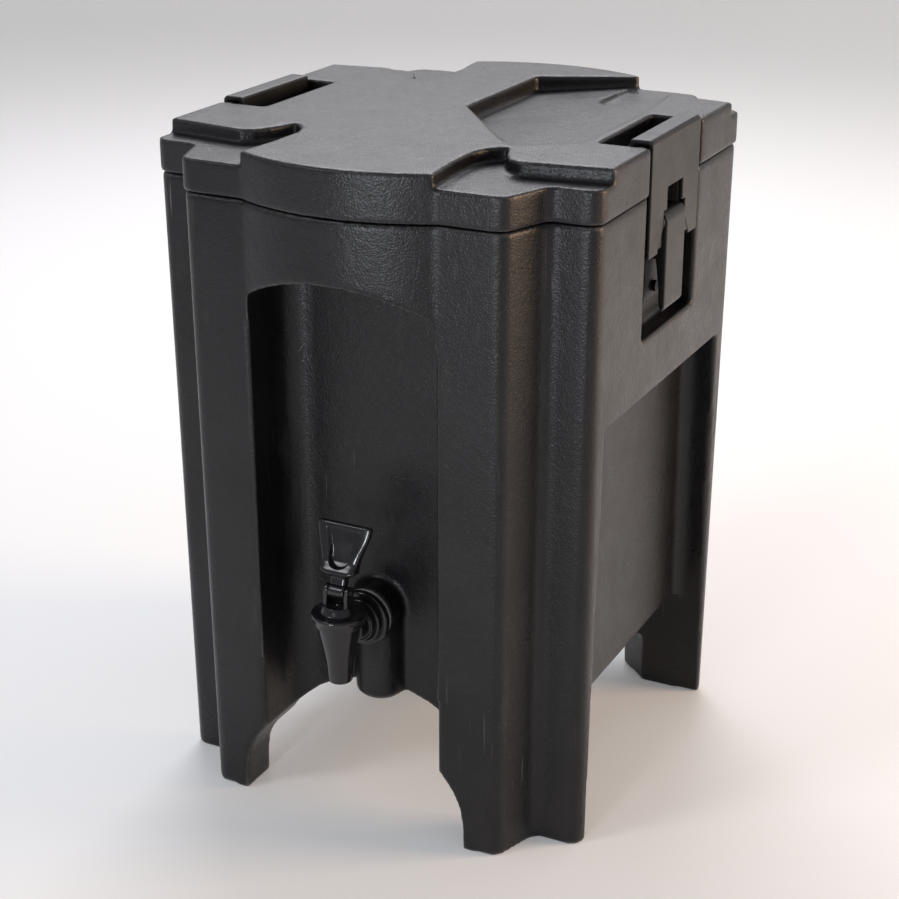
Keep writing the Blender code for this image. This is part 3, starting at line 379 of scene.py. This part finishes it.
def turned_piece(name, corners, origin, along, material, sides=96):
    """A profile (radius, place) turned about a straight axis: ring point = origin + place * along
    + radius * (cos a * first + sin a * second), the two directions square to the axis."""
    along = np.array(along, dtype=float)
    first = np.array([1.0, 0.0, 0.0])
    second = np.cross(along, first)
    line = softened_profile(corners)
    angle = np.linspace(0, 2 * math.pi, sides, endpoint=False)
    spoke = np.cos(angle)[:, None] * first + np.sin(angle)[:, None] * second
    points = np.array(origin) + line[:, 1, None, None] * along + line[:, 0, None, None] * spoke
    return grid_piece(name, points, material)


# barrel: open spout with a thin lip, then a taper that swells below the bonnet. CORE is the
# small radius at which a turned profile starts and ends, closed by a flat fan.
CORE = 0.0008
SPOUT = barrel_low.z
SKIRT = bonnet_low.z - 0.0002      # just under the bonnet's skirt
taper = SKIRT - SPOUT
barrel = turned_piece("tap_barrel", [
    (CORE, SPOUT + 0.0090), (0.0056, SPOUT + 0.0088), (0.0060, SPOUT + 0.0004),
    (0.0066, SPOUT), (0.0074, SPOUT), (0.0079, SPOUT + 0.0008), (0.0087, SPOUT + 0.30 * taper),
    (0.0112, SPOUT + 0.62 * taper), (0.0132, SPOUT + 0.86 * taper), (0.0138, SKIRT - 0.0010),
    (0.0138, SKIRT), (CORE, SKIRT)], (0, AXIS_Y, 0), (0, 0, 1), tap_plastic)
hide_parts("tap_body")
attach(barrel, "root")

# shank and flange: three stepped rings that grow towards the wall. Places run forwards.
FACE = washer_low.y - 0.0003       # back of the flange, on its washer
start = AXIS_Y + 0.0114            # inside the barrel's wall, clear of the seat cup
flange = turned_piece("tap_flange", [
    (CORE, -start), (0.0096, -start), (0.0098, -FACE + 0.0128), (0.0122, -FACE + 0.0124),
    (0.0124, -FACE + 0.0104), (0.0112, -FACE + 0.0100), (0.0112, -FACE + 0.0090),
    (0.0150, -FACE + 0.0086), (0.0153, -FACE + 0.0064), (0.0140, -FACE + 0.0060),
    (0.0140, -FACE + 0.0050), (0.0180, -FACE + 0.0046), (0.0189, -FACE + 0.0030),
    (0.0189, -FACE), (CORE, -FACE)][::-1], (0, 0, SHANK_Z), (0, -1, 0), tap_plastic)
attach(flange, "root")

bonnet = moulded_copy("tap_bonnet", TAP_GRAIN, TAP_PASSES, TAP_FACES)
bonnet.data.materials.clear()
bonnet.data.materials.append(tap_plastic)
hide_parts("tap_bonnet")
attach(bonnet, "root")


# ---------------------------------------------------------------- tap lever
# The paddle is one gloss moulding on a steel pin: a scoop for the thumb with a round-bottomed
# hollow, and under it a ledge that stands forward. Distances run up from the pin.
LEVER_LEAN = math.radians(17)
LEVER_START = 0.0045
LEVER_END = 0.0436
END_ROUND = 0.0018       # rounding of the top edge
NECK_HALF = 0.0052
SHOULDER = 0.0072        # the paddle's foot beyond the neck, on each side
FLARE = 0.0062           # the paddle's top beyond its foot, on each side
HOLLOW_FOOT = 0.0222     # centre of the hollow's round bottom
HOLLOW_RADIUS = 0.0072
HOLLOW_FLARE = 0.0042
HOLLOW_DEPTH = 0.0040
HOLLOW_RISE = 0.0020     # how much shallower it is at the top
BOX_POWER = 6            # squareness of the rounded box section


def smooth_step(value, low, high):
    """0 below low, 1 above high, and a smooth S between: t * t * (3 - 2 t)."""
    t = np.clip((value - low) / (high - low), 0, 1)
    return t * t * (3 - 2 * t)


def paddle_surface(stations=170, around=200):
    """Rings across the lever at distance d from its pin. Each is a rounded box, half-width w(d)
    by thickness from back(d) to front(d): |u|^6 + |v|^6 = 1. The hollow takes the front back by
    its depth inside the U that a half circle and two straight sides make."""
    d = np.linspace(LEVER_START, LEVER_END, stations)[:, None]
    w = (NECK_HALF + SHOULDER * smooth_step(d, 0.0080, 0.0140)
         + FLARE * smooth_step(d, 0.016, 0.043))
    front = (0.0034 + 0.0044 * smooth_step(d, 0.0085, 0.0120)
             - 0.0026 * smooth_step(d, 0.012, 0.020) - 0.0014 * smooth_step(d, 0.020, 0.038))
    back = -0.0034 + 0.0016 * smooth_step(d, 0.010, 0.036)
    past = ((d - (LEVER_END - END_ROUND)) / END_ROUND).clip(0, 1)
    end = np.sqrt(np.clip(1 - past ** 2, 0, 1))
    w = w - 0.0014 * (1 - end)
    middle, half = (front + back) / 2, (front - back) / 2 * (0.25 + 0.75 * end)

    angle = np.linspace(0, 2 * math.pi, around, endpoint=False)[None, :]
    c, s = np.cos(angle), np.sin(angle)
    size = (np.abs(c) ** BOX_POWER + np.abs(s) ** BOX_POWER) ** (1 / BOX_POWER)
    x = w * c / size
    off = middle + half * s / size

    # the hollow, on the front only
    wide = HOLLOW_RADIUS + HOLLOW_FLARE * smooth_step(d, HOLLOW_FOOT, LEVER_END)
    below = np.clip(HOLLOW_FOOT - d, 0, None)
    reach = np.sqrt(x ** 2 + below ** 2)
    inside = 1 - smooth_step(reach, wide - 0.0007, wide + 0.0005)
    inside = inside * (1 - smooth_step(d, LEVER_END - 0.0046, LEVER_END - 0.0034))
    depth = HOLLOW_DEPTH - HOLLOW_RISE * smooth_step(d, 0.020, 0.037)
    off = off - np.where(s > 0.15, inside * depth, 0.0)

    y = AXIS_Y + d * math.sin(LEVER_LEAN) - off * math.cos(LEVER_LEAN)
    z = pivot.z + d * math.cos(LEVER_LEAN) + off * math.sin(LEVER_LEAN)
    return np.stack([x, y, z], axis=-1)


paddle = grid_piece("tap_paddle", paddle_surface(), tap_plastic)
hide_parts("tap_lever")
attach(paddle, "tap_lever")
knuckle = turned_piece("tap_lever_knuckle", [
    (0.0005, -0.0056), (0.0040, -0.0056), (0.0046, -0.0050), (0.0046, 0.0050),
    (0.0040, 0.0056), (0.0005, 0.0056)], (0, AXIS_Y, pivot.z), (0, 0, 1), tap_plastic)
# the knuckle lies along X: about the pin, (x, y, z) becomes (z, x, y), which is a turn
places = np.empty(len(knuckle.data.vertices) * 3)
knuckle.data.vertices.foreach_get("co", places)
places = places.reshape(-1, 3) - np.array(pivot)
places = places[:, [2, 0, 1]] + np.array(pivot)
knuckle.data.vertices.foreach_set("co", places.ravel())
knuckle.data.update()
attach(knuckle, "tap_lever")


# ---------------------------------------------------------------- small parts that stay as made
# Pins are turned steel and screws are blackened steel, washers and gasket are moulded silicone,
# and the hollows are filled with poured foam.
def plain_finish(name, low, high, rough, metal, scale, depth):
    """One finish from a noise: colour low to high, roughness about its mean, and its height."""
    material, shader, add, join = new_material(name)
    place = add("ShaderNodeTexCoord")
    noise = add("ShaderNodeTexNoise", Scale=scale, Detail=5.0, Roughness=0.6)
    join(place.outputs["Object"], noise.inputs["Vector"])
    tone = add("ShaderNodeMix", data_type="RGBA")
    join(noise.outputs["Fac"], tone.inputs["Factor"])
    tone.inputs["A"].default_value = (*low, 1)
    tone.inputs["B"].default_value = (*high, 1)
    join(tone.outputs["Result"], shader.inputs["Base Color"])
    dull = add("ShaderNodeMapRange")
    dull.inputs["To Min"].default_value = rough - 0.08
    dull.inputs["To Max"].default_value = rough + 0.08
    join(noise.outputs["Fac"], dull.inputs["Value"])
    join(dull.outputs["Result"], shader.inputs["Roughness"])
    shader.inputs["Metallic"].default_value = metal
    bump = add("ShaderNodeBump", Strength=0.6, Distance=depth)
    join(noise.outputs["Fac"], bump.inputs["Height"])
    join(bump.outputs["Normal"], shader.inputs["Normal"])
    return material


finishes = {
    "steel": plain_finish("turned steel", (0.42, 0.42, 0.41), (0.66, 0.66, 0.65), 0.32, 1.0,
                          900.0, 0.00002),
    "screw": plain_finish("black oxide steel", (0.020, 0.020, 0.022), (0.055, 0.055, 0.057), 0.38,
                          1.0, 900.0, 0.00002),
    "silicone": plain_finish("silicone", (0.46, 0.46, 0.44), (0.60, 0.60, 0.57), 0.6, 0.0,
                             300.0, 0.00004),
    "foam": plain_finish("poured foam", (0.52, 0.40, 0.19), (0.70, 0.57, 0.31), 0.88, 0.0,
                         420.0, 0.0004),
    "tap": tap_plastic,
    "shell": body_plastic,
    "latch": latch_plastic,
}
kept_slots = {row["node"]: row["material_slot"] for row in frame["record"]["subparts"]}
for node, thing in frame["nodes"].items():
    thing.data.materials.clear()
    thing.data.materials.append(finishes["screw" if "screw" in node else kept_slots[node]])


# ---------------------------------------------------------------- floor, lights and camera
# A pale floor that curves up behind. One broad light stands above and behind, a warm one to the
# right, and in front a high one and a small low one that shows the peel.
def studio_sweep():
    """A floor that turns up into a wall: straight, a quarter circle, straight, carried along X."""
    reach = 14.0
    bend = 1.2
    behind = 2.6
    top = 9.0
    turn = np.linspace(0.0, math.pi / 2, 24)
    y = np.concatenate([[-reach], behind + bend * np.sin(turn), [behind + bend]])
    z = np.concatenate([[0.0], bend - bend * np.cos(turn), [top]])
    count = len(y)
    x = np.repeat([-reach, reach], count)
    points = np.column_stack([x, np.tile(y, 2), np.tile(z, 2)])
    row = np.arange(count - 1)
    quads = np.column_stack([row, row + count, row + count + 1, row + 1])
    mesh = bpy.data.meshes.new("studio_sweep")
    mesh.from_pydata(points.tolist(), [], quads.tolist())
    mesh.shade_smooth()
    sweep = bpy.data.objects.new("studio_sweep", mesh)
    sweep.location.z = -0.0002      # just clear of the feet
    bpy.context.collection.objects.link(sweep)
    return sweep


floor_paint, floor_shader, add_node, join_nodes = new_material("pale floor")
floor_shader.inputs["Base Color"].default_value = (0.92, 0.92, 0.92, 1)
floor_shader.inputs["Emission Color"].default_value = (1, 1, 1, 1)
floor_shader.inputs["Emission Strength"].default_value = 0.13
floor_shader.inputs["Roughness"].default_value = 0.9
sweep = studio_sweep()
sweep.data.materials.append(floor_paint)


def soft_light(name, place, aim, size, power, colour):
    """A square area light at a place, facing another."""
    data = bpy.data.lights.new(name, "AREA")
    data.shape = "SQUARE"
    data.size = size
    data.energy = power
    data.color = colour
    light = bpy.data.objects.new(name, data)
    light.location = place
    light.rotation_euler = (Vector(aim) - Vector(place)).to_track_quat("-Z", "Y").to_euler()
    bpy.context.collection.objects.link(light)


middle = (0.0, 0.0, 0.22)
soft_light("back top light", (-0.64, 1.25, 1.62), middle, 1.15, 19.0, (0.95, 0.95, 1.0))
soft_light("front light", (-1.3, -1.9, 2.2), middle, 0.7, 12.0, (0.94, 0.95, 1.0))
soft_light("right light", (2.2, 0.9, 0.7), middle, 0.9, 42.0, (1.0, 0.68, 0.42))
soft_light("low front light", (0.02, -2.3, 0.36), (0.0, 0.0, 0.34), 0.30, 15.0,
           (0.88, 0.92, 1.0))

world = bpy.data.worlds.new("studio")
bpy.context.scene.world = world
world.use_nodes = True
world.node_tree.nodes["Background"].inputs["Color"].default_value = (0.94, 0.95, 1.0, 1)
world.node_tree.nodes["Background"].inputs["Strength"].default_value = 0.33

# the camera stands in front and to the right, above the lid
WIDTH = 2 * (cad_high.x - 0.0022)
azimuth = math.radians(26.58)
elevation = math.radians(22.15)
distance = 4.332 * WIDTH
tank_axis = (cad_high.y + cad_low.y) / 2 + 0.0041
target = Vector((-0.018 * WIDTH, tank_axis, 0.6885 * WIDTH))
back = Vector((math.sin(azimuth) * math.cos(elevation), -math.cos(azimuth) * math.cos(elevation),
               math.sin(elevation)))
lens = bpy.data.cameras.new("camera")
lens.lens = 75.2
camera = bpy.data.objects.new("camera", lens)
camera.location = target + back * distance
camera.rotation_euler = (-back).to_track_quat("-Z", "Y").to_euler()
bpy.context.collection.objects.link(camera)
bpy.context.scene.camera = camera
bpy.context.scene.view_settings.view_transform = "Standard"
